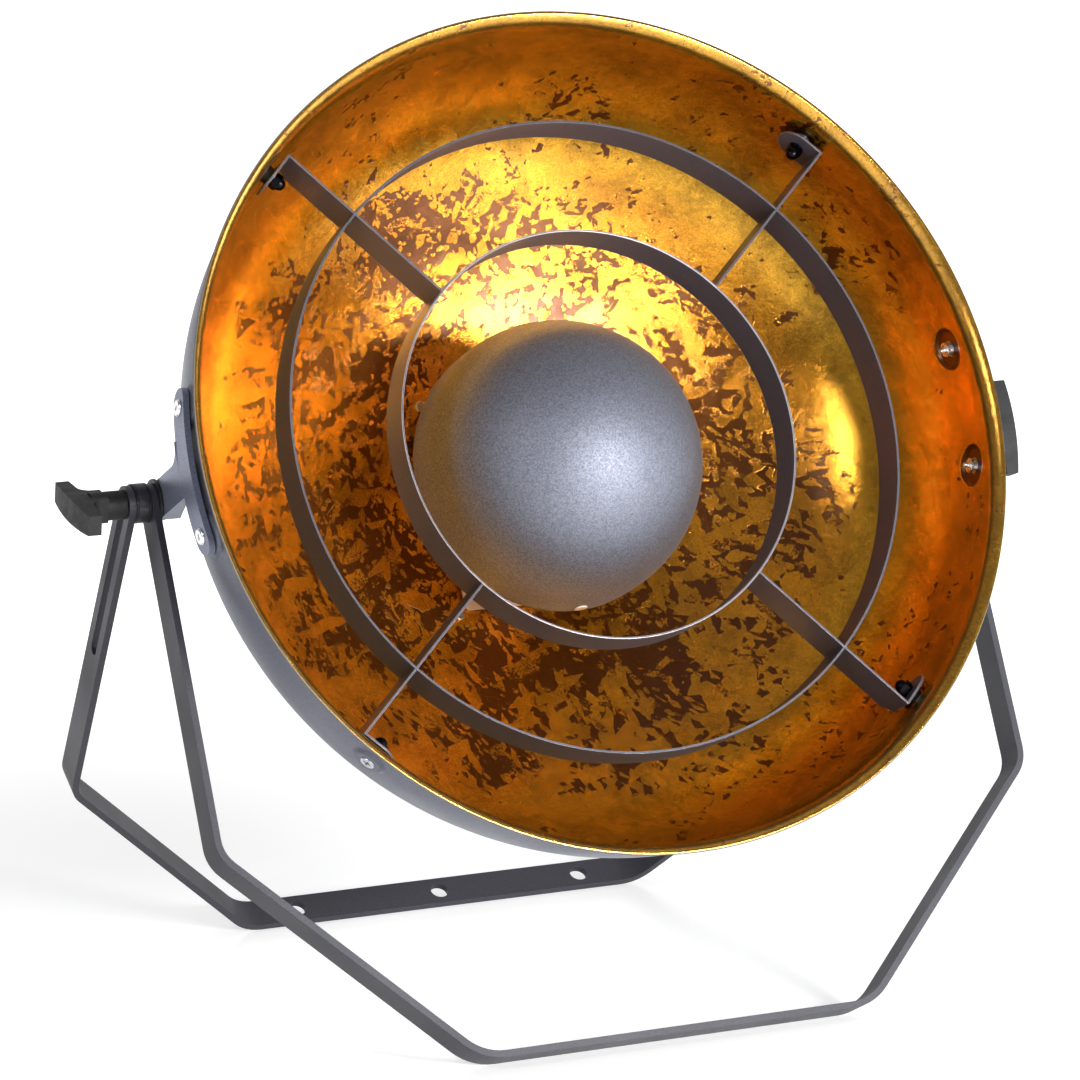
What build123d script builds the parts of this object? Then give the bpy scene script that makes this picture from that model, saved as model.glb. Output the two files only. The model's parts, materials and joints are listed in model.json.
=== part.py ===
from build123d import *
import os
from math import acos, asin, atan2, cos, degrees, hypot, radians, sin

# Tabletop searchlight: a spun steel reflector with a strap grille and a glare
# baffle, tilting between two bent flat-bar yokes that share one clamped axis.
# +Z is up, the beam leaves towards -Y and the tilt axis runs along X.  The
# origin is on the ground, under the middle of the lamp's bounding box.

# --- driving dimensions, millimetres and degrees -------------------------------

# Stance
pivot_height = 246.6
pivot_y = -6.8
beam_tilt = 25.1

# Reflector, measured from the plane of its rim
rim_radius = 200.0
rim_ahead = 65.0
rim_rise = 1.35
bowl_wall = 1.0
body_radius = 195.0
lip_depth = 8.0
straight_depth = 20.0
knuckle_radius = 90.0
knuckle_sweep = 55.0

# Grille of flat strip
strip_width = 20.0
strip_thickness = 1.0
grille_depth = 12.5
outer_ring_radius = 150.2
inner_ring_radius = 97.1
tab_width = 20.0
spoke_turn = -2.9
spoke_end_radius = 190.3
spoke_corner_cut = 8.0
tab_face_radius = 190.2

# Grille fasteners: M4 screws and cap nuts, and a distance washer between tab and wall
screw_radius = 2.0
screw_head_radius = 4.0
screw_head_height = 1.6
distance_washer_radius = 4.2
lock_washer_radius = 3.7
lock_washer = 0.9
nut_flats = 7.0
nut_hex_height = 3.2
nut_dome_radius = 3.1

# Glare baffle and its bracket
baffle_radius = 67.6
baffle_depth = 66.4
baffle_skirt = 12.0
baffle_wall = 1.0
baffle_rivet_depth = 71.4
small_rivet_radius = 1.6
bracket_width = 60.0
bracket_height = 100.0
bracket_sheet = 1.5
bracket_depth = 134.0
leg_width = 16.0
leg_reach = 45.0

# Lampholder and bulb
holder_radius = 22.0
holder_length = 42.0
bulb_radius = 30.0
bulb_depth = 54.0
bulb_wall = 0.8
screw_cap_radius = 13.2
nipple_radius = 5.0
nipple_bore_radius = 3.6
holder_floor = 8.0

# Housing on the back of the reflector
housing_flange_radius = 76.0
housing_radius = 56.0
housing_length = 42.0
housing_wall = 1.2
housing_rivet_x = 34.0
housing_rivet_up = 52.0
housing_rivet_hole_radius = 2.05
housing_edge_radius = 12.0
vent_radius = 2.6
vent_circle_radius = 36.0
gland_drop = 22.0
gland_thread_radius = 6.0

# Flat bar of the two yokes
bar_width = 16.8
bar_thickness = 3.2
front_half_width = 204.5
front_bend = 166.7
front_foot_half = 98.3
front_reach = 271.7
front_knee_radius = 18.0
front_foot_radius = 28.0
rear_half_width = 215.0
rear_bend = 174.6
rear_foot_half = 107.2
rear_reach = 284.9
rear_knee_radius = 17.0
rear_foot_radius = 22.0
rear_slot_travel = 88.0
foot_hole_spacing = 77.0
foot_hole_radius = 4.5

# Side brackets
plate_outer_x = 199.6
plate_thickness = 2.8
flange_length = 77.0
flange_width = 14.0
flange_depth = 22.3
web_half_width = 8.6
upper_crotch_radius = 9.0
lower_crotch_radius = 7.0
lip_height = 7.5
lip_thickness = 2.0
rivet_up = 29.0

# Blind rivets that hold the side brackets
rivet_collar_radius = 4.0
rivet_shank_radius = 2.4
rivet_head_radius = 4.1
rivet_head_height = 1.1
rivet_tail_radius = 3.6
rivet_tail_height = 1.7
mandrel_radius = 1.2
mandrel_stub = 2.6

# Clamping hardware
stud_radius = 3.0
weld_nut_flats = 10.0
running_gap = 0.1
washer_radius = 9.0
pivot_washer_radius = 10.4
washer_thickness = 1.1
knob_stem_radius = 6.6
knob_bar_length = 46.0
knob_end_height = 9.2
knob_belly = 1.1
knob_inner_x = 233.4
knob_crook_radius = 5.5
knob_web_length = 9.0
knob_end_x = 239.6
knob_crown_x = 241.2
left_knob_turn = 10.5
right_knob_turn = 71.2

os.makedirs("parts", exist_ok=True)

# --- frames worked out from the dimensions -------------------------------------

RIGHT = Vector(1, 0, 0)
PIVOT = Vector(0, pivot_y, pivot_height)
BEAM = Vector(0, -cos(radians(beam_tilt)), sin(radians(beam_tilt)))
LIFT = Vector(0, sin(radians(beam_tilt)), cos(radians(beam_tilt)))
MOUTH_CENTRE = PIVOT + BEAM * rim_ahead + LIFT * rim_rise
MOUTH = Plane(origin=MOUTH_CENTRE, x_dir=RIGHT, z_dir=BEAM)
# Half-section of the reflector: x is the radius, y runs forward along the beam.
SECTION = Plane(origin=MOUTH_CENTRE, x_dir=RIGHT, z_dir=LIFT * -1)
BEAM_AXIS = Axis(MOUTH_CENTRE, BEAM)


def lean_of(reach):
    """Angle from the vertical at which a yoke's lower bar edge meets the ground."""
    corner = atan2(bar_width / 2, reach)
    return degrees(corner + acos(pivot_height / hypot(reach, bar_width / 2)))


front_lean = lean_of(front_reach)
rear_lean = -lean_of(rear_reach)


def yoke_plane(lean):
    """Plane of a yoke through the pivot, with y up along its arms."""
    normal = Vector(0, -cos(radians(lean)), sin(radians(lean)))
    return Plane(origin=PIVOT, x_dir=RIGHT, z_dir=normal)


def behind(depth):
    """Plane parallel to the rim, a depth behind it, facing out of the mouth."""
    return MOUTH.offset(-depth)


def wall_plane(angle, depth, radius):
    """Plane on the reflector's side wall: z outwards, x to the back, y round the rim."""
    outward = RIGHT * cos(radians(angle)) + LIFT * sin(radians(angle))
    origin = MOUTH_CENTRE + outward * radius - BEAM * depth
    return Plane(origin=origin, x_dir=BEAM * -1, z_dir=outward)


def axle_plane(x, side=-1):
    """Plane across the tilt axis at a distance x from the middle, facing outwards."""
    return Plane(origin=PIVOT + RIGHT * (side * x), x_dir=BEAM, z_dir=RIGHT * side)


def back_depth(radius, offset=0.0):
    """Depth of the reflector's spherical back at a radius, on an offset surface."""
    return back_centre_depth + (back_radius + offset) * cos(asin(radius / (back_radius + offset)))


# The knuckle arc of the wall runs tangent into a spherical back.
knuckle_centre = body_radius - knuckle_radius
knuckle_x = knuckle_centre + knuckle_radius * cos(radians(knuckle_sweep))
knuckle_depth = straight_depth + knuckle_radius * sin(radians(knuckle_sweep))
back_radius = knuckle_x / cos(radians(knuckle_sweep))
back_centre_depth = knuckle_depth - back_radius * sin(radians(knuckle_sweep))
rivet_angle = degrees(asin(rivet_up / body_radius))
grille_angles = [45.0, 135.0, 225.0, 315.0]
rivet_angles = [rivet_angle, -rivet_angle, 180 - rivet_angle, 180 + rivet_angle]
grille_bolt_depth = grille_depth + strip_width / 2
rivet_hole_radius = rivet_shank_radius + running_gap / 2
housing_rivets = [(x, y) for x in (-housing_rivet_x, housing_rivet_x) for y in (-housing_rivet_up, housing_rivet_up)]

# --- reflector ------------------------------------------------------------------


def bowl_points(inset):
    """Corner points of the bowl's wall profile, moved inwards by an inset."""
    lip_radius = (lip_depth**2 + (rim_radius - body_radius) ** 2) / (2 * (rim_radius - body_radius))
    lip_angle = atan2(lip_depth, lip_radius - rim_radius + body_radius)
    lip_centre = body_radius + lip_radius
    grown = lip_radius + inset
    rim = (lip_centre - grown * cos(lip_angle), -lip_depth + grown * sin(lip_angle))
    middle = (lip_centre - grown * cos(lip_angle / 2), -lip_depth + grown * sin(lip_angle / 2))
    knuckle = knuckle_radius - inset
    sphere = back_radius - inset
    half, full = radians(knuckle_sweep / 2), radians(knuckle_sweep)
    shoulder = (knuckle_centre + knuckle * cos(half), -straight_depth - knuckle * sin(half))
    join = (knuckle_centre + knuckle * cos(full), -straight_depth - knuckle * sin(full))
    flank = radians(90 + knuckle_sweep) / 2
    cap = (sphere * cos(flank), -back_centre_depth - sphere * sin(flank))
    return {
        "rim": rim,
        "lip": middle,
        "lip_end": (body_radius - inset, -lip_depth),
        "wall_end": (body_radius - inset, -straight_depth),
        "shoulder": shoulder,
        "join": join,
        "cap": cap,
        "pole": (0, -back_centre_depth - sphere),
    }


with BuildPart() as reflector_bowl:
    with BuildSketch(SECTION):
        with BuildLine():
            faces = [bowl_points(0.0), bowl_points(bowl_wall)]
            for spot in faces:
                ThreePointArc(spot["rim"], spot["lip"], spot["lip_end"])
                Line(spot["lip_end"], spot["wall_end"])
                ThreePointArc(spot["wall_end"], spot["shoulder"], spot["join"])
                ThreePointArc(spot["join"], spot["cap"], spot["pole"])
            Line(faces[0]["rim"], faces[1]["rim"])
            Line(faces[0]["pole"], faces[1]["pole"])
        make_face()
    revolve(axis=BEAM_AXIS, revolution_arc=360)
    # Holes for the grille bolts, the bracket rivets, the housing rivets and the lampholder.
    with Locations(*[wall_plane(angle, grille_bolt_depth, body_radius) for angle in grille_angles]):
        Cylinder(screw_radius + running_gap, 8, mode=Mode.SUBTRACT)
    with Locations(*[wall_plane(angle, flange_depth, body_radius) for angle in rivet_angles]):
        Cylinder(rivet_hole_radius, 8, mode=Mode.SUBTRACT)
    with BuildSketch(behind(150)):
        with Locations(*housing_rivets):
            Circle(housing_rivet_hole_radius)
        Circle(nipple_radius + running_gap)
    extrude(amount=30, mode=Mode.SUBTRACT)
reflector_bowl.part.label = "reflector_bowl"
export_step(reflector_bowl.part, "parts/reflector_bowl.step")

# --- grille ----------------------------------------------------------------------


def spoke_plane(angle):
    """Plane along one spoke: x outwards, y to the back, z round the rim."""
    turned = radians(angle + spoke_turn)
    outward = RIGHT * cos(turned) + LIFT * sin(turned)
    return Plane(origin=MOUTH_CENTRE - BEAM * grille_depth, x_dir=outward, z_dir=outward.cross(BEAM * -1))


with BuildPart() as grille_outer_ring:
    with BuildSketch(behind(grille_depth + strip_width)):
        Circle(outer_ring_radius + strip_thickness / 2)
        Circle(outer_ring_radius - strip_thickness / 2, mode=Mode.SUBTRACT)
    extrude(amount=strip_width)
    # The front half of the strip is notched where each spoke passes through.
    for angle in grille_angles:
        with BuildSketch(spoke_plane(angle)):
            with Locations((outer_ring_radius, strip_width / 4)):
                Rectangle(8, strip_width / 2)
        extrude(amount=strip_thickness / 2 + 0.03, both=True, mode=Mode.SUBTRACT)
grille_outer_ring.part.label = "grille_outer_ring"
export_step(grille_outer_ring.part, "parts/grille_outer_ring.step")

with BuildPart() as grille_inner_ring:
    with BuildSketch(behind(grille_depth + strip_width)):
        Circle(inner_ring_radius + strip_thickness / 2)
        Circle(inner_ring_radius - strip_thickness / 2, mode=Mode.SUBTRACT)
    extrude(amount=strip_width)
grille_inner_ring.part.label = "grille_inner_ring"
export_step(grille_inner_ring.part, "parts/grille_inner_ring.step")

spoke_start_radius = inner_ring_radius + strip_thickness / 2 + 0.03
# Distance round the rim from a spoke's bend to its bolt.
tab_offset = spoke_end_radius * sin(radians(-spoke_turn))

with BuildPart() as grille_spokes:
    for angle in grille_angles:
        with BuildSketch(spoke_plane(angle)):
            with Locations(((spoke_start_radius + spoke_end_radius) / 2, strip_width / 2)):
                Rectangle(spoke_end_radius - spoke_start_radius, strip_width)
            with Locations((outer_ring_radius, strip_width * 3 / 4)):
                Rectangle(strip_thickness + 0.06, strip_width / 2, mode=Mode.SUBTRACT)
            # The back corner of the strip is cut off where the bowl starts to narrow.
            with Locations((spoke_end_radius, strip_width)):
                Rectangle(spoke_corner_cut, spoke_corner_cut, rotation=45, mode=Mode.SUBTRACT)
        extrude(amount=strip_thickness / 2, both=True)
        # End tab, bent round to lie on the wall, with a round end about its bolt hole.
        with BuildSketch(wall_plane(angle, grille_bolt_depth, tab_face_radius)):
            with Locations((0, -tab_offset / 2)):
                Rectangle(tab_width, tab_offset)
            Circle(tab_width / 2)
            Circle(screw_radius + running_gap, mode=Mode.SUBTRACT)
        extrude(amount=-strip_thickness)
grille_spokes.part.label = "grille_spokes"
export_step(grille_spokes.part, "parts/grille_spokes.step")

# --- grille fasteners --------------------------------------------------------------

tab_inner_radius = tab_face_radius - strip_thickness
nut_seat_radius = tab_inner_radius - lock_washer
# The distance washer stops short of the wall, which curves away from its flat face.
distance_washer = body_radius - bowl_wall - 0.35 - tab_face_radius

with BuildPart() as grille_washers:
    for angle in grille_angles:
        with BuildSketch(wall_plane(angle, grille_bolt_depth, tab_face_radius + 0.02)):
            Circle(distance_washer_radius)
            Circle(screw_radius + running_gap, mode=Mode.SUBTRACT)
        extrude(amount=distance_washer)
grille_washers.part.label = "grille_washers"
export_step(grille_washers.part, "parts/grille_washers.step")

with BuildPart() as grille_lock_washers:
    for angle in grille_angles:
        with BuildSketch(wall_plane(angle, grille_bolt_depth, tab_inner_radius)):
            Circle(lock_washer_radius)
            Circle(screw_radius + running_gap, mode=Mode.SUBTRACT)
            with Locations((lock_washer_radius - 1, 0)):
                Rectangle(4, 0.6, mode=Mode.SUBTRACT)
        extrude(amount=-lock_washer)
grille_lock_washers.part.label = "grille_lock_washers"
export_step(grille_lock_washers.part, "parts/grille_lock_washers.step")

with BuildPart() as grille_cap_nuts:
    for angle in grille_angles:
        seat = wall_plane(angle, grille_bolt_depth, nut_seat_radius)
        with BuildSketch(seat):
            RegularPolygon(nut_flats / 2, 6, major_radius=False)
        extrude(amount=-nut_hex_height)
        with Locations(seat.offset(-nut_hex_height)):
            Sphere(nut_dome_radius)
        with BuildSketch(seat):
            Circle(screw_radius + running_gap / 2)
        extrude(amount=-nut_hex_height - 1.2, mode=Mode.SUBTRACT)
grille_cap_nuts.part.label = "grille_cap_nuts"
export_step(grille_cap_nuts.part, "parts/grille_cap_nuts.step")

with BuildPart() as grille_bolts:
    for angle in grille_angles:
        seat = wall_plane(angle, grille_bolt_depth, body_radius + 0.02)
        with BuildSketch(seat):
            Circle(screw_radius)
        extrude(amount=nut_seat_radius - nut_hex_height - body_radius)
        with BuildSketch(seat):
            Circle(screw_head_radius)
        extrude(amount=screw_head_height, taper=20)
        # Cross recess.
        with BuildSketch(seat.offset(screw_head_height)):
            Rectangle(screw_head_radius, 0.9)
            Rectangle(0.9, screw_head_radius)
        extrude(amount=-screw_head_height / 2, mode=Mode.SUBTRACT)
grille_bolts.part.label = "grille_bolts"
export_step(grille_bolts.part, "parts/grille_bolts.step")

# --- glare baffle -------------------------------------------------------------------

skirt_end_depth = baffle_depth + baffle_skirt

with BuildPart() as baffle_dome:
    with BuildSketch(SECTION):
        with BuildLine():
            for radius in (baffle_radius, baffle_radius - baffle_wall):
                Line((radius, -skirt_end_depth), (radius, -baffle_depth))
                ThreePointArc(
                    (radius, -baffle_depth),
                    (radius * cos(radians(45)), radius * sin(radians(45)) - baffle_depth),
                    (0, radius - baffle_depth),
                )
            Line((baffle_radius, -skirt_end_depth), (baffle_radius - baffle_wall, -skirt_end_depth))
            Line((0, baffle_radius - baffle_depth), (0, baffle_radius - baffle_wall - baffle_depth))
        make_face()
    revolve(axis=BEAM_AXIS, revolution_arc=360)
    for side in (-1, 1):
        with Locations(wall_plane(90 * side, baffle_rivet_depth, baffle_radius)):
            Cylinder(small_rivet_radius + running_gap / 2, 8, mode=Mode.SUBTRACT)
baffle_dome.part.label = "baffle_dome"
export_step(baffle_dome.part, "parts/baffle_dome.step")

leg_tip_up = (baffle_radius - baffle_wall) * cos(asin(leg_width / 2 / (baffle_radius - baffle_wall))) - 0.1
leg_tip_depth = baffle_depth - 2
LEG_SIDE = Plane(origin=MOUTH_CENTRE, x_dir=BEAM * -1, z_dir=RIGHT)

with BuildPart() as baffle_bracket:
    with BuildSketch(behind(bracket_depth + bracket_sheet)):
        Rectangle(bracket_width, bracket_height)
        Circle(nipple_radius + running_gap, mode=Mode.SUBTRACT)
    extrude(amount=bracket_sheet)
    fillet(baffle_bracket.edges().filter_by(lambda edge: abs(edge.length - bracket_sheet) < 0.01), 3)
    # Two legs rise from the plate and end flat against the inside of the baffle's skirt.
    with BuildSketch(LEG_SIDE):
        for side in (-1, 1):
            with BuildLine():
                root = (bracket_depth + 0.5, side * leg_reach)
                knee = (skirt_end_depth + 14, side * leg_reach)
                wrist = (skirt_end_depth - 1, side * (leg_tip_up - bracket_sheet))
                tip = (leg_tip_depth, side * (leg_tip_up - bracket_sheet))
                outer_tip = (leg_tip_depth, side * leg_tip_up)
                outer_wrist = (skirt_end_depth - 1, side * leg_tip_up)
                outer_knee = (skirt_end_depth + 14, side * (leg_reach + bracket_sheet))
                outer_root = (bracket_depth + 0.5, side * (leg_reach + bracket_sheet))
                Polyline(root, knee, wrist, tip, outer_tip, outer_wrist, outer_knee, outer_root, close=True)
            make_face()
    extrude(amount=leg_width / 2, both=True)
    for side in (-1, 1):
        with Locations(wall_plane(90 * side, baffle_rivet_depth, baffle_radius)):
            Cylinder(small_rivet_radius + running_gap / 2, 12, mode=Mode.SUBTRACT)
baffle_bracket.part.label = "baffle_bracket"
export_step(baffle_bracket.part, "parts/baffle_bracket.step")

with BuildPart() as baffle_rivets:
    for side in (-1, 1):
        inner_seat = wall_plane(90 * side, baffle_rivet_depth, leg_tip_up - bracket_sheet - 0.05)
        with BuildSketch(inner_seat):
            Circle(small_rivet_radius)
        extrude(amount=baffle_radius - leg_tip_up + bracket_sheet + 0.2)
        with BuildSketch(wall_plane(90 * side, baffle_rivet_depth, baffle_radius + 0.05)):
            Circle(2 * small_rivet_radius)
        extrude(amount=small_rivet_radius / 2)
        with BuildSketch(inner_seat):
            Circle(small_rivet_radius + 1)
        extrude(amount=-2)
baffle_rivets.part.label = "baffle_rivets"
export_step(baffle_rivets.part, "parts/baffle_rivets.step")

# --- lampholder and bulb --------------------------------------------------------------

holder_front_depth = bracket_depth - holder_length
shell_radius = screw_cap_radius + 1.2
shell_wall = 0.6
contact_plate = 0.6
contact_radius = 7.0
contact_pin_radius = 2.0

with BuildPart() as lampholder_body:
    with BuildSketch(behind(bracket_depth)):
        Circle(holder_radius)
        Circle(nipple_radius + running_gap / 2, mode=Mode.SUBTRACT)
    extrude(amount=holder_floor)
    with BuildSketch(behind(bracket_depth - holder_floor)):
        Circle(holder_radius)
        Circle(shell_radius + running_gap / 2, mode=Mode.SUBTRACT)
    extrude(amount=holder_length - holder_floor)
    fillet(lampholder_body.faces().sort_by(BEAM_AXIS)[-1].outer_wire().edges(), 3)
lampholder_body.part.label = "lampholder_body"
export_step(lampholder_body.part, "parts/lampholder_body.step")

with BuildPart() as lampholder_shell:
    with BuildSketch(behind(bracket_depth - holder_floor - 2)):
        Circle(shell_radius)
        Circle(shell_radius - shell_wall, mode=Mode.SUBTRACT)
    extrude(amount=holder_length - holder_floor - 4)
lampholder_shell.part.label = "lampholder_shell"
export_step(lampholder_shell.part, "parts/lampholder_shell.step")

with BuildPart() as lampholder_contact:
    with BuildSketch(behind(bracket_depth - holder_floor)):
        Circle(contact_radius)
    extrude(amount=contact_plate)
    with BuildSketch(behind(bracket_depth - holder_floor - contact_plate)):
        Circle(contact_pin_radius)
    extrude(amount=2.5)
lampholder_contact.part.label = "lampholder_contact"
export_step(lampholder_contact.part, "parts/lampholder_contact.step")

nipple_back_depth = back_depth(0) + 9
holder_nut_flats = 14.0

with BuildPart() as lampholder_nipple:
    with BuildSketch(behind(nipple_back_depth)):
        Circle(nipple_radius)
        Circle(nipple_bore_radius, mode=Mode.SUBTRACT)
    extrude(amount=nipple_back_depth - bracket_depth + holder_floor - 0.5)
lampholder_nipple.part.label = "lampholder_nipple"
export_step(lampholder_nipple.part, "parts/lampholder_nipple.step")

with BuildPart() as lampholder_nut:
    with BuildSketch(behind(nipple_back_depth - 1.5)):
        RegularPolygon(holder_nut_flats / 2, 6, major_radius=False)
        Circle(nipple_radius + running_gap / 2, mode=Mode.SUBTRACT)
    extrude(amount=nipple_back_depth - 1.5 - back_depth(nipple_radius) - running_gap)
lampholder_nut.part.label = "lampholder_nut"
export_step(lampholder_nut.part, "parts/lampholder_nut.step")

# A distance tube fills the gap between the bracket's plate and the bowl.
tube_radius = 9.0
tube_back_depth = back_depth(tube_radius) - bowl_wall - 2 * running_gap

with BuildPart() as lampholder_spacer:
    with BuildSketch(behind(tube_back_depth)):
        Circle(tube_radius)
        Circle(nipple_radius + running_gap / 2, mode=Mode.SUBTRACT)
    extrude(amount=tube_back_depth - bracket_depth - bracket_sheet)
lampholder_spacer.part.label = "lampholder_spacer"
export_step(lampholder_spacer.part, "parts/lampholder_spacer.step")

cap_front_depth = holder_front_depth - 4
cap_back_depth = bracket_depth - 14

with BuildPart() as bulb_cap:
    with BuildSketch(behind(cap_back_depth)):
        Circle(screw_cap_radius)
    extrude(amount=cap_back_depth - cap_front_depth)
    with BuildSketch(behind(cap_back_depth)):
        Circle(screw_cap_radius)
    extrude(amount=-2.5, taper=45)
bulb_cap.part.label = "bulb_cap"
export_step(bulb_cap.part, "parts/bulb_cap.step")

neck_radius = 13.0

with BuildPart() as bulb_glass:
    with BuildSketch(SECTION):
        with BuildLine():
            start = (neck_radius, -cap_front_depth)
            neck = (neck_radius + 2.5, -cap_front_depth + 8)
            waist = (bulb_radius * cos(radians(32)), -bulb_depth - bulb_radius * sin(radians(32)))
            Line((0, -cap_front_depth), start)
            Polyline(start, neck, waist)
            ThreePointArc(waist, (bulb_radius, -bulb_depth), (0, bulb_radius - bulb_depth))
            Line((0, bulb_radius - bulb_depth), (0, -cap_front_depth))
        make_face()
    revolve(axis=BEAM_AXIS, revolution_arc=360)
    offset(amount=-bulb_wall, openings=bulb_glass.faces().sort_by(BEAM_AXIS)[0])
bulb_glass.part.label = "bulb_glass"
export_step(bulb_glass.part, "parts/bulb_glass.step")

# --- housing on the back of the reflector ------------------------------------------------

housing_back_depth = back_depth(0) + housing_length
housing_draft = 3.0
housing_crown_radius = housing_radius - 13
flange_gap = 0.1

with BuildPart() as rear_housing:
    with BuildSketch(SECTION):
        with BuildLine():
            seat_edge = (housing_flange_radius, -back_depth(housing_flange_radius, flange_gap))
            seat_middle_x = (housing_flange_radius + housing_radius) / 2
            seat_middle = (seat_middle_x, -back_depth(seat_middle_x, flange_gap))
            seat_root = (housing_radius - housing_wall, -back_depth(housing_radius - housing_wall, flange_gap))
            top = (housing_flange_radius, -back_depth(housing_flange_radius, flange_gap + housing_wall))
            top_middle = (seat_middle_x, -back_depth(seat_middle_x, flange_gap + housing_wall))
            top_root = (housing_radius, -back_depth(housing_radius, flange_gap + housing_wall))
            shoulder = (housing_radius - housing_draft, -housing_back_depth + housing_edge_radius)
            crown = (housing_crown_radius, -housing_back_depth)
            inner_shoulder = (shoulder[0] - housing_wall, shoulder[1])
            inner_crown = (housing_crown_radius, -housing_back_depth + housing_wall)
            ThreePointArc(seat_edge, seat_middle, seat_root)
            ThreePointArc(top, top_middle, top_root)
            Line(seat_edge, top)
            Line(top_root, shoulder)
            RadiusArc(shoulder, crown, housing_edge_radius)
            Line(crown, (0, -housing_back_depth))
            Line((0, -housing_back_depth), (0, -housing_back_depth + housing_wall))
            Line((0, -housing_back_depth + housing_wall), inner_crown)
            RadiusArc(inner_crown, inner_shoulder, -(housing_edge_radius - 1))
            Line(inner_shoulder, seat_root)
        make_face()
    revolve(axis=BEAM_AXIS, revolution_arc=360)
    with BuildSketch(behind(housing_back_depth + 5)):
        with Locations((0, -gland_drop)):
            Circle(gland_thread_radius + running_gap)
        # Vents in an arc over the gland.
        with PolarLocations(vent_circle_radius, 5, start_angle=18, angular_range=144):
            Circle(vent_radius)
    extrude(amount=10, mode=Mode.SUBTRACT)
    with BuildSketch(behind(back_depth(0) + 8)):
        with Locations(*housing_rivets):
            Circle(housing_rivet_hole_radius)
    extrude(amount=30, mode=Mode.SUBTRACT)
rear_housing.part.label = "rear_housing"
export_step(rear_housing.part, "parts/rear_housing.step")

rivet_seat_radius = hypot(housing_rivet_x, housing_rivet_up)
rivet_tilt = asin(rivet_seat_radius / back_radius)

with BuildPart() as rear_housing_rivets:
    for x, up in housing_rivets:
        # Each rivet stands square to the spherical back.
        outward = (RIGHT * x + LIFT * up) * (sin(rivet_tilt) / rivet_seat_radius) - BEAM * cos(rivet_tilt)
        foot = MOUTH_CENTRE - BEAM * back_centre_depth + outward * (back_radius - bowl_wall - 0.1)
        seat = Plane(origin=foot, x_dir=RIGHT.cross(outward), z_dir=outward)
        with BuildSketch(seat):
            Circle(small_rivet_radius)
        extrude(amount=bowl_wall + housing_wall + 0.6)
        with Locations(seat):
            Cylinder(small_rivet_radius + 1, 1.2, align=(Align.CENTER, Align.CENTER, Align.MAX))
        with Locations(seat.offset(bowl_wall + housing_wall + 0.4)):
            Cylinder(3.4, 1.1, align=(Align.CENTER, Align.CENTER, Align.MIN))
rear_housing_rivets.part.label = "rear_housing_rivets"
export_step(rear_housing_rivets.part, "parts/rear_housing_rivets.step")

terminal_up = 26.0
terminal_pitch = 9.0
terminal_height = 13.0
terminal_back_depth = back_depth(0) + 27

with BuildPart() as terminal_block:
    with BuildSketch(behind(terminal_back_depth)):
        with Locations((0, terminal_up)):
            Rectangle(30, 12)
        with Locations((-terminal_pitch, terminal_up), (0, terminal_up), (terminal_pitch, terminal_up)):
            Circle(2, mode=Mode.SUBTRACT)
    extrude(amount=terminal_height + 1)
    # A pair of feet reaches the back of the bowl.
    with BuildSketch(behind(terminal_back_depth - terminal_height)):
        with Locations((-12, terminal_up), (12, terminal_up)):
            Rectangle(5, 8)
    extrude(amount=terminal_back_depth - terminal_height - back_depth(terminal_up - 1) - 2 * running_gap)
terminal_block.part.label = "terminal_block"
export_step(terminal_block.part, "parts/terminal_block.step")

gland_bore = 3.6

gland_collar = 5.0
gland_cap_radius = 7.6

with BuildPart() as cable_gland:
    with BuildSketch(behind(housing_back_depth)):
        with Locations((0, -gland_drop)):
            RegularPolygon(9.5, 6)
            Circle(gland_bore, mode=Mode.SUBTRACT)
    extrude(amount=-gland_collar)
    with BuildSketch(behind(housing_back_depth + gland_collar)):
        with Locations((0, -gland_drop)):
            Circle(gland_cap_radius)
            Circle(gland_bore, mode=Mode.SUBTRACT)
    extrude(amount=-9)
    fillet(cable_gland.faces().sort_by(BEAM_AXIS)[0].outer_wire().edges(), 2)
    with BuildSketch(behind(housing_back_depth)):
        with Locations((0, -gland_drop)):
            Circle(gland_thread_radius)
            Circle(gland_bore, mode=Mode.SUBTRACT)
    extrude(amount=8)
cable_gland.part.label = "cable_gland"
export_step(cable_gland.part, "parts/cable_gland.step")

with BuildPart() as gland_nut:
    with BuildSketch(behind(housing_back_depth - housing_wall)):
        with Locations((0, -gland_drop)):
            RegularPolygon(9, 6)
            Circle(gland_thread_radius + running_gap / 2, mode=Mode.SUBTRACT)
    extrude(amount=4)
gland_nut.part.label = "gland_nut"
export_step(gland_nut.part, "parts/gland_nut.step")

# --- side brackets ------------------------------------------------------------------------

# Distance from the pivot to the middle of the flange, along the beam.
flange_mid_along = rim_ahead - flange_depth
flange_back_along = flange_mid_along - flange_width / 2


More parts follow.
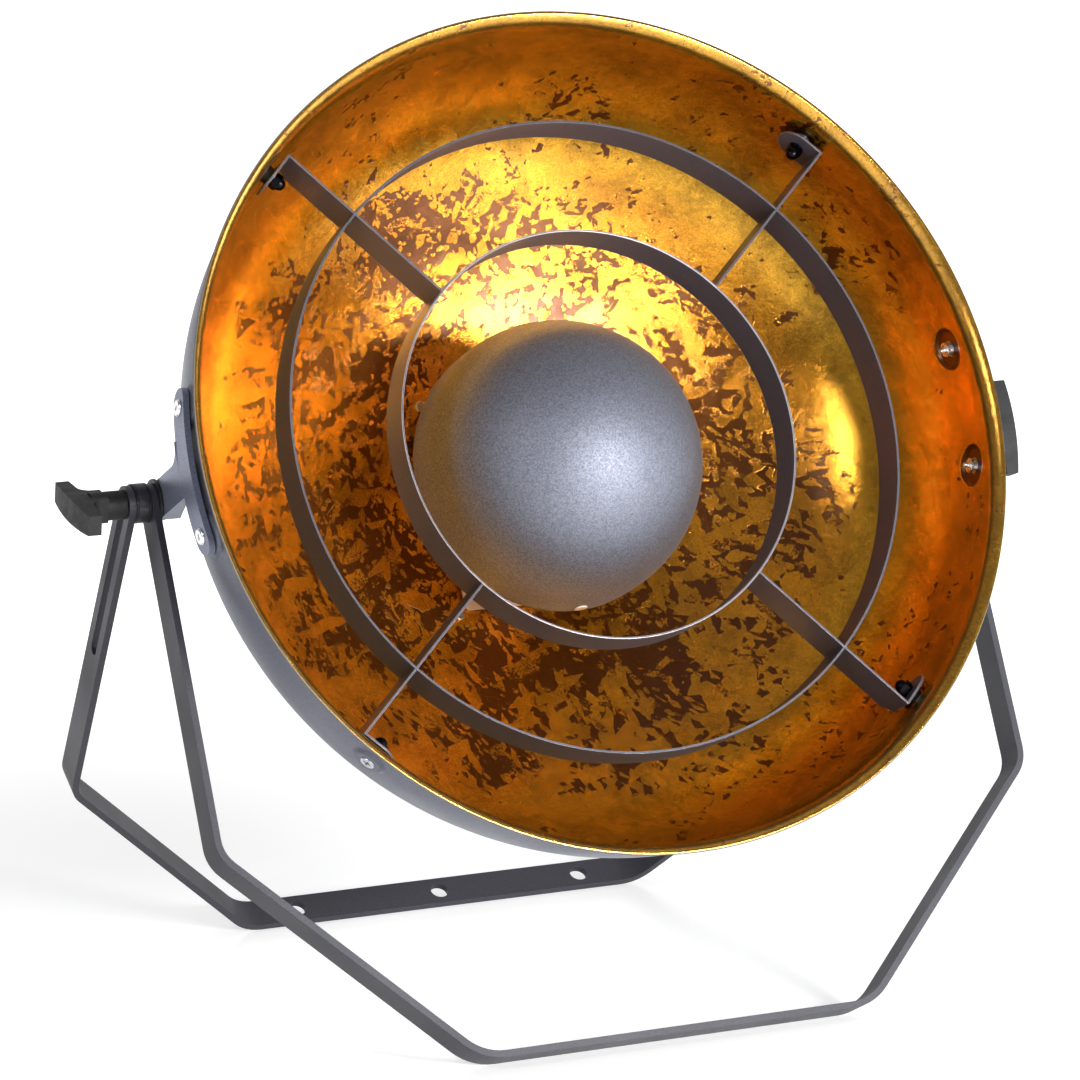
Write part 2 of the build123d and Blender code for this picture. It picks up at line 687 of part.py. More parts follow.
with BuildPart() as side_bracket_left:
    # A flat web runs from a round end about the pivot to the back edge of the flange.
    with BuildSketch(axle_plane(plate_outer_x)) as web_face:
        Circle(web_half_width)
        with Locations((flange_mid_along / 2, 0)):
            Rectangle(flange_mid_along, 2 * web_half_width)
        with Locations((flange_mid_along, rim_rise)):
            SlotOverall(flange_length, flange_width, rotation=90)
        crotch = web_face.vertices().filter_by(
            lambda spot: hypot(spot.X - flange_back_along, abs(spot.Y) - web_half_width) < 0.5
        )
        fillet(crotch.filter_by(lambda spot: spot.Y > 0), upper_crotch_radius)
        fillet(crotch.filter_by(lambda spot: spot.Y < 0), lower_crotch_radius)
        # The flange itself is curved, so only its outline behind the back edge is kept.
        with Locations((flange_back_along + flange_length, 0)):
            Rectangle(2 * flange_length, 2 * flange_length, mode=Mode.SUBTRACT)
    extrude(amount=-plate_thickness)
    # A lip is folded inwards along both edges of the web and runs out towards the flange.
    for side in (-1, 1):
        lip_face = Plane(origin=PIVOT + LIFT * (side * web_half_width), x_dir=BEAM, z_dir=LIFT * side)
        inward = 1 if lip_face.y_dir.X > 0 else -1
        with BuildSketch(lip_face):
            with BuildLine():
                fold = -inward * (plate_outer_x - plate_thickness + 0.2)
                Polyline((0, fold), (flange_back_along, fold), (0, fold + inward * lip_height), close=True)
            make_face()
        extrude(amount=-lip_thickness)
    # Flange curved round the wall of the bowl.
    with BuildPart(mode=Mode.PRIVATE) as flange:
        with BuildSketch(axle_plane(plate_outer_x + 2)):
            with Locations((flange_mid_along, rim_rise)):
                SlotOverall(flange_length, flange_width, rotation=90)
        extrude(amount=-30)
        with BuildSketch(behind(flange_depth + flange_width)):
            Circle(plate_outer_x)
            Circle(plate_outer_x - plate_thickness, mode=Mode.SUBTRACT)
        extrude(amount=2 * flange_width, mode=Mode.INTERSECT)
    add(flange.part)
    with Locations(axle_plane(plate_outer_x)):
        Cylinder(stud_radius + running_gap, 20, mode=Mode.SUBTRACT)
    with Locations(*[wall_plane(angle, flange_depth, body_radius) for angle in rivet_angles[2:]]):
        Cylinder(rivet_hole_radius, 20, mode=Mode.SUBTRACT)
side_bracket_left.part.label = "side_bracket_left"
export_step(side_bracket_left.part, "parts/side_bracket_left.step")

with BuildPart() as side_bracket_right:
    mirror(side_bracket_left.part, about=Plane.YZ)
side_bracket_right.part.label = "side_bracket_right"
export_step(side_bracket_right.part, "parts/side_bracket_right.step")

with BuildPart() as bracket_rivets:
    for angle in rivet_angles:
        # Shoulder rivet: a collar holds the flange clear of the wall.
        with BuildSketch(wall_plane(angle, flange_depth, body_radius + 0.05)):
            Circle(rivet_collar_radius)
        extrude(amount=plate_outer_x - plate_thickness - body_radius - 0.15)
        inner_seat = wall_plane(angle, flange_depth, body_radius - bowl_wall - 0.25)
        with BuildSketch(inner_seat):
            Circle(rivet_shank_radius)
        extrude(amount=plate_outer_x - body_radius + bowl_wall + 0.4)
        outer_seat = wall_plane(angle, flange_depth, plate_outer_x + 0.05)
        with BuildSketch(outer_seat):
            Circle(rivet_head_radius)
        extrude(amount=rivet_head_height, taper=30)
        # The mandrel breaks off inside the head and leaves its end showing at the back.
        with BuildSketch(outer_seat.offset(rivet_head_height)):
            Circle(mandrel_radius)
        extrude(amount=-rivet_head_height, mode=Mode.SUBTRACT)
        with BuildSketch(inner_seat):
            Circle(rivet_tail_radius)
        extrude(amount=-rivet_tail_height)
        with BuildSketch(inner_seat.offset(-rivet_tail_height)):
            Circle(mandrel_radius)
        extrude(amount=-mandrel_stub)
bracket_rivets.part.label = "bracket_rivets"
export_step(bracket_rivets.part, "parts/bracket_rivets.step")

weld_nut_x = plate_outer_x - plate_thickness

with BuildPart() as weld_nuts:
    for side in (-1, 1):
        with BuildSketch(axle_plane(weld_nut_x, side)):
            RegularPolygon(weld_nut_flats / 2, 6, major_radius=False)
            Circle(stud_radius + running_gap / 2, mode=Mode.SUBTRACT)
        extrude(amount=-5)
weld_nuts.part.label = "weld_nuts"
export_step(weld_nuts.part, "parts/weld_nuts.step")

# --- yokes -----------------------------------------------------------------------------------

yokes = {
    "front_yoke": (
        front_lean,
        front_half_width,
        front_bend,
        front_foot_half,
        front_reach,
        front_knee_radius,
        front_foot_radius,
    ),
    "rear_yoke": (
        rear_lean,
        rear_half_width,
        rear_bend,
        rear_foot_half,
        rear_reach,
        rear_knee_radius,
        rear_foot_radius,
    ),
}

for name, (lean, half_width, bend, foot_half, reach, knee_radius, foot_radius) in yokes.items():
    hanging = yoke_plane(lean)
    arm_direction = hanging.y_dir * -1
    eyes = [axle_plane(half_width, side) for side in (-1, 1)]
    with BuildPart() as yoke:
        # A bar bent into an open half-hexagon that hangs from the pivot.
        with BuildSketch(hanging):
            with BuildLine() as outline:
                outer = FilletPolyline(
                    (-half_width, 0),
                    (-half_width, -bend),
                    (-foot_half, -reach),
                    (foot_half, -reach),
                    (half_width, -bend),
                    (half_width, 0),
                    radius=[knee_radius, foot_radius, foot_radius, knee_radius],
                )
                offset(outer, amount=bar_thickness, side=Side.LEFT, closed=True)
            make_face()
        extrude(amount=bar_width / 2, both=True)
        # Round eyes about the tilt axis.
        for eye in eyes:
            with BuildSketch(eye):
                Circle(bar_width / 2)
            extrude(amount=-bar_thickness)
        if name == "front_yoke":
            with Locations(*eyes):
                Cylinder(stud_radius + running_gap, 20, mode=Mode.SUBTRACT)
        else:
            # Adjustment slot through both arms, from the pivot downwards.
            slot_middle = PIVOT + arm_direction * (rear_slot_travel / 2)
            with BuildSketch(Plane(origin=slot_middle - RIGHT * 240, x_dir=arm_direction, z_dir=RIGHT)):
                SlotCenterToCenter(rear_slot_travel, 2 * (stud_radius + running_gap))
            extrude(amount=480, mode=Mode.SUBTRACT)
            # Three fixing holes in the foot.
            with BuildSketch(Plane(origin=PIVOT, x_dir=RIGHT, z_dir=arm_direction)):
                with Locations((-foot_hole_spacing, 0), (0, 0), (foot_hole_spacing, 0)):
                    Circle(foot_hole_radius)
            extrude(amount=reach + 10, mode=Mode.SUBTRACT)
    yoke.part.label = name
    export_step(yoke.part, f"parts/{name}.step")

# --- washers and spacers on the tilt axis ------------------------------------------------------

joint_gap = 0.12
front_inner_x = front_half_width - bar_thickness
rear_inner_x = rear_half_width - bar_thickness
inner_washer_x = front_half_width + joint_gap
spacer_x = inner_washer_x + washer_thickness
outer_washer_x = rear_inner_x - joint_gap - washer_thickness

# Each row is a node of equal discs: where they start, how thick and how wide they are.
disc_sets = {
    "pivot_washers": ([plate_outer_x], front_inner_x - joint_gap - plate_outer_x, pivot_washer_radius),
    "spacer_washers": ([inner_washer_x, outer_washer_x], washer_thickness, washer_radius),
    "hub_spacers": ([spacer_x], outer_washer_x - spacer_x, washer_radius),
}

for name, (starts, thickness, radius) in disc_sets.items():
    with BuildPart() as discs:
        for start_x in starts:
            for side in (-1, 1):
                with BuildSketch(axle_plane(start_x, side)):
                    Circle(radius)
                    Circle(stud_radius + running_gap, mode=Mode.SUBTRACT)
                extrude(amount=thickness)
    discs.part.label = name
    export_step(discs.part, f"parts/{name}.step")

# --- clamping knobs and their studs ---------------------------------------------------------------

knob_face_x = rear_half_width + joint_gap
stud_end_x = weld_nut_x - 5.5
stud_top_x = knob_inner_x - 2
knob_half = knob_bar_length / 2


def along_bar(turn):
    """Direction of a knob's bar, turned up from the +Y axis."""
    return Vector(0, cos(radians(turn)), sin(radians(turn)))


def knob_plane(side, turn):
    """Plane holding a knob's T: x outwards along the axis, y along the bar."""
    return Plane(origin=PIVOT, x_dir=RIGHT * side, z_dir=(RIGHT * side).cross(along_bar(turn)))


for name, side, turn in (("left", -1, left_knob_turn), ("right", 1, right_knob_turn)):
    # T-handle: a bellied bar with a crowned outer face that crooks into a web and a round stem.
    with BuildPart() as knob:
        with BuildSketch(knob_plane(side, turn)):
            with BuildLine():
                for end in (-1, 1):
                    crook = (knob_inner_x, end * (knob_stem_radius + knob_crook_radius))
                    Polyline((knob_end_x, end * knob_half), (knob_inner_x, end * knob_half), crook)
                    bend = JernArc(crook, (0, -end), knob_crook_radius, -90 * end)
                    web_end = (knob_inner_x - knob_web_length, end * knob_stem_radius)
                    Polyline(bend @ 1, web_end, (knob_inner_x - knob_web_length, 0))
                ThreePointArc((knob_end_x, knob_half), (knob_crown_x, 0), (knob_end_x, -knob_half))
            make_face()
        extrude(amount=knob_end_height, both=True)
        with BuildSketch(Plane(origin=PIVOT, x_dir=along_bar(turn), z_dir=RIGHT * side)):
            with BuildLine():
                for edge in (-1, 1):
                    ThreePointArc(
                        (-knob_half, edge * knob_end_height / 2),
                        (0, edge * (knob_end_height / 2 + knob_belly)),
                        (knob_half, edge * knob_end_height / 2),
                    )
                for end in (-1, 1):
                    Line((end * knob_half, -knob_end_height / 2), (end * knob_half, knob_end_height / 2))
            make_face()
        extrude(amount=knob_crown_x + 1, mode=Mode.INTERSECT)
        with BuildSketch(axle_plane(knob_face_x, side)):
            Circle(knob_stem_radius)
        extrude(amount=knob_inner_x - 2 - knob_face_x)
        with BuildSketch(axle_plane(knob_face_x, side)):
            Circle(stud_radius + running_gap / 2)
        extrude(amount=stud_top_x - knob_face_x + 0.2, mode=Mode.SUBTRACT)
    knob.part.label = f"knob_{name}"
    export_step(knob.part, f"parts/knob_{name}.step")
    # Threaded stud moulded into the knob.
    with BuildPart() as stud:
        with BuildSketch(axle_plane(stud_end_x, side)):
            Circle(stud_radius)
        extrude(amount=stud_top_x - stud_end_x)
    stud.part.label = f"stud_{name}"
    export_step(stud.part, f"parts/stud_{name}.step")
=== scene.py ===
"""Dresses the packed tabletop searchlight lamp: reflector, grille, baffle, yokes and knobs."""

import json
import math
from functools import partial

import bmesh
import bpy
from bpy.props import FloatProperty, FloatVectorProperty, IntProperty, PointerProperty
from mathutils import Matrix, Vector


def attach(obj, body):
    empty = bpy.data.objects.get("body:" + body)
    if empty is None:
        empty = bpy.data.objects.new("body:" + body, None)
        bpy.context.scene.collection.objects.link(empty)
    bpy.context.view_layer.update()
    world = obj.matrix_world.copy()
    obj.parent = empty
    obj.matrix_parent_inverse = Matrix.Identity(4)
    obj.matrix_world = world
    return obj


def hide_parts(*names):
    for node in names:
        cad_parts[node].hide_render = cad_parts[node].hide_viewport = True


bl_info = {
    "name": "Tabletop searchlight lamp",
    "version": (1, 0, 0),
    "blender": (4, 5, 0),
    "location": "View3D > Sidebar > Searchlight",
    "description": "Finishes a tabletop searchlight lamp round its packed frame",
    "category": "Object",
}

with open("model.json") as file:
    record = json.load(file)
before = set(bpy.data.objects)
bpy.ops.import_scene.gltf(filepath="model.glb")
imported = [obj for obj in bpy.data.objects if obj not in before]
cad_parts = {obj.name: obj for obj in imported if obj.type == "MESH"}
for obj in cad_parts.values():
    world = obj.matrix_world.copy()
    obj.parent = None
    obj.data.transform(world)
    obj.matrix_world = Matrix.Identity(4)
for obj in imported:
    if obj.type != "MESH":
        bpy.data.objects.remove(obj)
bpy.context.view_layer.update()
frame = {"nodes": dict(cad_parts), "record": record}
BODY_OF = {
    node: body for body, nodes in frame["record"]["behaviour"]["bodies"].items() for node in nodes
}

MM = 0.001
WHITE = (1.0, 1.0, 1.0, 1.0)

# --- the lamp's sizes, in millimetres and degrees -----------------------------------------

# The lamp's head leans back by the tilt of its beam. Its own frame has x to the right, y up the
# rim and z out along the beam, and starts in the rim's middle.
BEAM_TILT = math.radians(25.1)
BEAM = Vector((0, -math.cos(BEAM_TILT), math.sin(BEAM_TILT)))
LIFT = Vector((0, math.sin(BEAM_TILT), math.cos(BEAM_TILT)))
PIVOT = Vector((0, -6.8, 246.6)) * MM
MOUTH_AHEAD = 65.0
MOUTH_ABOVE = 1.35
MOUTH = PIVOT + BEAM * MOUTH_AHEAD * MM + LIFT * MOUTH_ABOVE * MM
HEAD = Matrix.Translation(MOUTH) @ Matrix.Rotation(math.pi / 2 - BEAM_TILT, 4, "X")

# Half-section of the reflector: a flared lip, a straight wall, a knuckle and a shallow back. The
# rim is a hair under 200, to stay inside the frame's box.
RIM_RADIUS = 199.98
BODY_RADIUS = 195.0
LIP_DEPTH = 8.0
FLARE = RIM_RADIUS - BODY_RADIUS
LIP_RADIUS = (LIP_DEPTH**2 + FLARE**2) / (2 * FLARE)
LIP_SWEEP = math.degrees(math.asin(LIP_DEPTH / LIP_RADIUS))
STRAIGHT_DEPTH = 20.0
KNUCKLE_RADIUS = 90.0
KNUCKLE_SWEEP = 55.0
KNUCKLE_TURN = math.radians(KNUCKLE_SWEEP)
BACK_RADIUS = (BODY_RADIUS - KNUCKLE_RADIUS) / math.cos(KNUCKLE_TURN) + KNUCKLE_RADIUS
BACK_SWEEP = 90 - KNUCKLE_SWEEP
BACK_CENTRE_DEPTH = STRAIGHT_DEPTH - (BACK_RADIUS - KNUCKLE_RADIUS) * math.sin(KNUCKLE_TURN)

# The baffle is a half ball on a short skirt, and its depth is that of the ball's middle.
BAFFLE_RADIUS = 67.6
BAFFLE_DEPTH = 66.4
BAFFLE_SKIRT = 12.0
BAFFLE_WALL = 1.0

# Fasteners in the reflector's wall: the angle round the rim and the depth behind it.
RIVET_UP = 29.0
RIVET_DEPTH = 22.3
RIVET_ANGLE = math.degrees(math.asin(RIVET_UP / BODY_RADIUS))
RIVET_ANGLES = (RIVET_ANGLE, -RIVET_ANGLE, 180 - RIVET_ANGLE, 180 + RIVET_ANGLE)
SCREW_DEPTH = 22.5
SCREW_ANGLES = (45, 135, 225, 315)

# The sheet bends back to the wall over this width round a pressed pad, and its mesh is cut finer
# there this many times.
PAD_SHOULDER = 1.6
PAD_CUTS = 2

# Widths of the broken edges on small pieces, in metres.
WASHER_EDGE = 0.0002
FINE_EDGE = 0.0003
SOFT_EDGE = 0.0004
KNOB_EDGE = 0.0012

# --- the stage, in metres -----------------------------------------------------------------

# Each soft box: its direction from the lamp's middle, how far it stands, its share of the main
# power, its width and its height.
LAMP_MIDDLE = Vector((0, 0, 0.25))
SOFT_BOXES = {
    "main soft box": ((0.315, -0.93, 0.17), 1.9, 0.8, 0.42, 0.26),
    "front soft box": ((0.10, -0.98, 0.160), 2.0, 0.30, 0.30, 0.16),
    "left soft box": ((-0.74, -0.50, 0.42), 1.5, 0.08, 0.13, 0.36),
    "right soft box": ((0.98, -0.20, -0.06), 1.8, 0.10, 0.5, 0.5),
}

# The sheet on the floor glows this much near the lamp and far from it, at these distances.
FLOOR_NEAR_FAR = (0.3, 1.1)
FLOOR_GLOW = (0.42, 1.0)

# Where the white wall stands, how the light falls off round it, and how dim the room's front is.
WALL_DIRECTION = (0.5, 0.85, 0.0)
WALL_EDGE = (-0.1, 0.7)
ROOM_DIMNESS = 0.30

# A long lens in front of the lamp and to its left, with the directions of its right, up and back.
CAMERA_LENS = 161.4
CAMERA_SHIFT = (-0.00953, 0.00599)
CAMERA_PLACE = (-0.927665, -2.028481, 0.636591)
CAMERA_AXES = (
    (0.909104, -0.416500, -0.007588),
    (0.085441, 0.168603, 0.981974),
    (-0.407713, -0.893365, 0.188864),
)


def linear(code):
    """The linear colour, with full alpha, of an sRGB hex code."""
    parts = [int(code[place : place + 2], 16) / 255 for place in (0, 2, 4)]
    lights = [p / 12.92 if p <= 0.04045 else ((p + 0.055) / 1.055) ** 2.4 for p in parts]
    return (*lights, 1.0)


# --- sizes and colours a user would change --------------------------------------------------


class ReflectorSettings(bpy.types.PropertyGroup):
    """Sizes and colours of the spun reflector."""

    wall: FloatProperty(
        name="Wall", description="Thickness of the spun sheet", default=0.001, unit="LENGTH"
    )
    pad: FloatProperty(
        name="Pad",
        description="How far the sheet is pressed out round a fastener",
        default=0.0011,
        unit="LENGTH",
    )
    rivet_pad: FloatProperty(
        name="Rivet pad",
        description="Radius of the flat pad round a rivet",
        default=0.0105,
        unit="LENGTH",
    )
    screw_pad: FloatProperty(
        name="Screw pad",
        description="Radius of the dent round a grille screw",
        default=0.0085,
        unit="LENGTH",
    )
    leaf: FloatVectorProperty(
        name="Leaf",
        description="Colour of the gold leaf",
        subtype="COLOR",
        size=4,
        default=linear("F3A11E"),
    )
    rim_leaf: FloatVectorProperty(
        name="Leaf by the rim",
        description="Colour of the leaf where the lacquer on it is thinner",
        subtype="COLOR",
        size=4,
        default=linear("F4B62A"),
    )
    lacquer: FloatVectorProperty(
        name="Lacquer",
        description="Colour of the amber lacquer between the flakes of leaf",
        subtype="COLOR",
        size=4,
        default=linear("5E3208"),
    )
    outside: FloatVectorProperty(
        name="Outside",
        description="Colour of the coat outside",
        subtype="COLOR",
        size=4,
        default=linear("696B79"),
    )
    flake: FloatProperty(
        name="Flake",
        description="Breadth of the largest shards of leaf",
        default=0.0056,
        unit="LENGTH",
    )


class GrilleSettings(bpy.types.PropertyGroup):
    """Finish of the strap grille."""

    coat: FloatVectorProperty(
        name="Coat",
        description="Colour of the strips",
        subtype="COLOR",
        size=4,
        default=linear("47464F"),
    )
    # The strips' edges are pale partly from wear and partly as a painted highlight, where light
    # catches their front edges.
    rubbed_edge_highlight: FloatVectorProperty(
        name="Rubbed edge, painted highlight",
        description="Colour of the strips' rubbed edges, lightened as a painted highlight",
        subtype="COLOR",
        size=4,
        default=linear("B9B3B6"),
    )
    broken_edge: FloatProperty(
        name="Broken edge",
        description="Width of the strips' broken edges",
        default=0.0003,
        unit="LENGTH",
    )


class BaffleSettings(bpy.types.PropertyGroup):
    """Finish of the glare baffle and what it hides."""

    paint: FloatVectorProperty(
        name="Paint",
        description="Colour of the metallic paint",
        subtype="COLOR",
        size=4,
        default=linear("767985"),
    )
    # The bracket's white enamel is tinted cream as painted warm light bounced from the gold.
    white_with_painted_warm_light: FloatVectorProperty(
        name="Bracket",
        description="Colour of the bracket's white enamel, with a painted warm cast of the gold's light",
        subtype="COLOR",
        size=4,
        default=linear("E6CDB4"),
    )


class StandSettings(bpy.types.PropertyGroup):
    """Finish of the yokes, the side brackets and the knobs."""

    coat: FloatVectorProperty(
        name="Coat",
        description="Colour of the powder coat",
        subtype="COLOR",
        size=4,
        default=linear("36363D"),
    )
    # The brackets wear the yokes' paint, set paler as painted light where the left lamp falls on
    # them.
    bracket_painted_paler: FloatVectorProperty(
        name="Bracket",
        description="Colour of the side brackets, the yokes' paint made paler as painted light",
        subtype="COLOR",
        size=4,
        default=linear("868A9E"),
    )
    knob: FloatVectorProperty(
        name="Knob",
        description="Colour of the moulded knobs",
        subtype="COLOR",
        size=4,
        default=linear("141416"),
    )
    broken_edge: FloatProperty(
        name="Broken edge",
        description="Width of the bars' broken edges",
        default=0.0006,
        unit="LENGTH",
    )


class StageSettings(bpy.types.PropertyGroup):
    """Floor, lamps and background."""

    floor: FloatProperty(
        name="Floor", description="Side of the square floor", default=14.0, unit="LENGTH"
    )
    lamp: FloatProperty(
        name="Lamp",
        description="Power that each soft box takes its share of",
        default=52.0,
        unit="POWER",
    )
    sky: FloatProperty(
        name="Sky",
        description="Strength of the even light from the white wall behind",
        default=0.70,
        min=0.0,
    )
    steps: IntProperty(
        name="Steps", description="Sides of a turned piece", default=360, min=48, max=720
    )


# --- shapes ---------------------------------------------------------------------------------


def draw_section(bm, start, moves):
    """Draws a half-section in the XZ plane, in millimetres.

    A move is ("line", end, steps), by extrusion, or ("arc", centre, degrees, steps), by spinning
    the end point.
    """
    tip = bmesh.ops.create_vert(bm, co=(start[0], 0, start[1]))["vert"][0]
    for kind, place, *rest in moves:
        spot = Vector((place[0], 0, place[1]))
        if kind == "line":
            (steps,) = rest
            step = (spot - tip.co) / steps
            for _ in range(steps):
                tip = bmesh.ops.extrude_vert_indiv(bm, verts=[tip])["verts"][0]
                tip.co += step
        else:
            degrees, steps = rest
            made = bmesh.ops.spin(
                bm,
                geom=[tip],
                cent=spot,
                axis=(0, 1, 0),
                angle=math.radians(degrees),
                steps=steps,
            )["geom_last"]
            tip = next(part for part in made if isinstance(part, bmesh.types.BMVert))


def turn_section(bm, steps, crown):
    """Spins a half-section once round the z axis and faces the skin outwards.

    The skin is open at one end. The crown is its closed end: 1 at the top, -1 at the bottom.
    """
    bmesh.ops.spin(
        bm,
        geom=bm.verts[:] + bm.edges[:],
        cent=(0, 0, 0),
        axis=(0, 0, 1),
        angle=math.tau,
        steps=steps,
        use_merge=True,
    )
    bmesh.ops.remove_doubles(bm, verts=bm.verts, dist=0.001)
    bmesh.ops.recalc_face_normals(bm, faces=bm.faces)
    end = max(bm.faces, key=lambda face: crown * face.calc_center_median().z)
    if crown * end.normal.z < 0:
        bmesh.ops.reverse_faces(bm, faces=bm.faces)


def press_pad(bm, angle, depth, reach, drop):
    """Presses a round flat pad outwards into the side wall, in millimetres and degrees."""
    turn = math.radians(angle)
    outward = Vector((math.cos(turn), math.sin(turn), 0))
    middle = outward * BODY_RADIUS + Vector((0, 0, -depth))
    for _ in range(PAD_CUTS):
        near = [
            link
            for link in bm.edges
            if min((vert.co - middle).length for vert in link.verts) < reach + 2 * PAD_SHOULDER
        ]
        bmesh.ops.subdivide_edges(bm, edges=near, cuts=1, use_grid_fill=True)
    for vert in bm.verts:
        offset = vert.co - middle
        away = (offset - outward * offset.dot(outward)).length
        if offset.length < 2 * reach and away < reach:
            share = min((reach - away) / PAD_SHOULDER, 1.0)
            eased = share * share * (3 - 2 * share)
            vert.co += outward * (middle.dot(outward) + drop - vert.co.dot(outward)) * eased


def lean_with_head(bm):
    """Takes a shape from the head's own frame, in millimetres, to its place in metres."""
    bmesh.ops.scale(bm, vec=(MM, MM, MM), verts=bm.verts)
    bmesh.ops.transform(bm, matrix=HEAD, verts=bm.verts)


def finished(bm, name, finishes, sharp=40):
    """Makes an object from a bmesh, with its finishes, smooth faces and its own normals."""
    mesh = bpy.data.meshes.new(name)
    bm.to_mesh(mesh)
    bm.free()
    for layer in ("custom_normal", "sharp_edge", "sharp_face"):
        if layer in mesh.attributes:
            mesh.attributes.remove(mesh.attributes[layer])
    for finish in finishes:
        mesh.materials.append(finish)
    mesh.shade_smooth()
    mesh.set_sharp_from_angle(angle=math.radians(sharp))
    piece = bpy.data.objects.new(name, mesh)
    bpy.context.scene.collection.objects.link(piece)
    return piece


def stand_for(piece, node):
    """Lets a piece take a CAD node's place and body."""
    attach(piece, BODY_OF[node])
    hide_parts(node)


def thicken(piece, wall):
    """Gives a skin its wall, inwards, and hands the modifier over for its finishes."""
    shell = piece.modifiers.new("sheet", "SOLIDIFY")
    shell.thickness = wall
    shell.offset = -1
    return shell


def break_edges(piece, width, segments, edge_finish):
    """Rounds a piece's sharp edges, with a finish of their own unless that is -1."""
    bevel = piece.modifiers.new("broken edges", "BEVEL")
    bevel.width = width
    bevel.segments = segments
    bevel.limit_method = "ANGLE"
    bevel.angle_limit = math.radians(35)
    bevel.harden_normals = True
    bevel.material = edge_finish


def reworked(node, finishes, width=0.0, segments=2, edge_finish=-1, sharp=35):
    """A copy of a CAD node, merged and made of whole flats, with its edges broken."""
    bm = bmesh.new()
    bm.from_mesh(frame["nodes"][node].data)
    bmesh.ops.remove_doubles(bm, verts=bm.verts, dist=1e-6)
    bmesh.ops.dissolve_limit(
        bm,
        angle_limit=math.radians(0.3),
        use_dissolve_boundaries=False,
        verts=bm.verts,
        edges=bm.edges,
    )
    for face in bm.faces:
        face.material_index = 0
    piece = finished(bm, node + "_finished", finishes, sharp)
    if width:
        break_edges(piece, width, segments, edge_finish)
    stand_for(piece, node)


# --- finishes -------------------------------------------------------------------------------

# Most of a noise's values lie in this span.
NOISE_SPAN = (0.3, 0.7)
EASED = {"interpolation_type": "SMOOTHSTEP"}
# Inputs and output of a Mix node that mixes colours.
SHARE, FIRST, SECOND, MIXED = 0, 6, 7, 2


def fill(node, inputs):
    """Sets a node's inputs, by name or number, or links them where the value is an output."""
    for socket, value in inputs.items():
        if isinstance(value, bpy.types.NodeSocket):
            node.id_data.links.new(value, node.inputs[socket])
        else:
            node.inputs[socket].default_value = value


def add_node(tree, kind, inputs=(), **options):
    """Adds a node with its options and inputs, and gives its outputs.

    The inputs are a dictionary, or a tuple of the first ones in their order.
    """
    node = tree.nodes.new("ShaderNode" + kind)
    for option, value in options.items():
        setattr(node, option, value)
    fill(node, inputs if isinstance(inputs, dict) else dict(enumerate(inputs)))
    return node.outputs


def new_finish(name, colour, **sockets):
    """A material with the values that are the same all over it.

    Gives the material, its shader, a way to add nodes to it, and the place on the piece.
    """
    material = bpy.data.materials.new(name)
    material.use_nodes = True
    material.diffuse_color = colour
    shader = material.node_tree.nodes["Principled BSDF"]
    fill(shader, {"Base Color": colour})
    fill(shader, {socket.replace("_", " "): value for socket, value in sockets.items()})
    add = partial(add_node, material.node_tree)
    return material, shader, add, add("TexCoord")["Object"]


def darker(colour, share):
    """A colour with a share of its light left."""
    return (*(part * share for part in colour[:3]), 1.0)


def powder_coat(name, colour, roughness=0.42, metallic=0.35):
    """Polyester powder coat, sprayed dry and baked: even colour, fine orange peel, satin gloss."""
    material, shader, add, place = new_finish(name, colour, Metallic=metallic)
    # The real peel is 0.3 mm across, drawn three times as coarse so that it shows.
    peel = add("TexNoise", {"Vector": place, "Scale": 1 / (0.9 * MM), "Detail": 2.0})["Fac"]
    cloud = add("TexNoise", {"Vector": place, "Scale": 1 / (45 * MM), "Detail": 3.0})["Fac"]
    share = add("MapRange", (peel, *NOISE_SPAN))[0]
    shades = {SHARE: share, FIRST: darker(colour, 0.82), SECOND: darker(colour, 1.18)}
    tint = add("Mix", shades, data_type="RGBA")[MIXED]
    gloss = add("MapRange", (cloud, *NOISE_SPAN, roughness - 0.05, roughness + 0.06))[0]
    bump = add("Bump", {"Height": peel, "Distance": 0.06 * MM})[0]
    fill(shader, {"Base Color": tint, "Roughness": gloss, "Normal": bump})
    return material


def near_fastener(add, quarter, angle, depth, reach, edge):
    """A mask that is 1 round a fastener in the wall, in all four quarters of the rim at once."""
    turn = math.radians(angle)
    spot = Vector((BODY_RADIUS * math.cos(turn), BODY_RADIUS * math.sin(turn), depth)) * MM
    away = add("VectorMath", (quarter, spot), operation="DISTANCE")["Value"]
    return add("MapRange", (away, reach, reach - edge))[0]


def torn_shards(add, pulled, flake):
    """The highest of three layers of straight-sided cells, and the sum of their slopes."""
    top = slopes = None
    # How each layer is turned and drawn out, and how large it is beside the largest.
    for turn, stretch, size in (
        ((0.3, 0.5, 0.4), (2.8, 1.0, 1.3), 1.0),
        ((0.9, 0.2, 1.6), (3.4, 1.0, 1.2), 0.62),
        ((0.2, 0.8, 2.5), (2.4, 1.0, 1.0), 0.38),
    ):
        drawn = {"Vector": pulled, "Rotation": turn, "Scale": stretch}
        spot = add("Mapping", drawn, vector_type="TEXTURE")[0]
        cell = add("TexVoronoi", {"Vector": spot, "Scale": 1 / (flake * size)})["Color"]
        value = add("SeparateColor", (cell,))[0]
        if top is None:
            top, slopes = value, cell
        else:
            top = add("Math", (top, value), operation="MAXIMUM")[0]
            slopes = add("VectorMath", (slopes, cell), operation="ADD")[0]
    return top, slopes


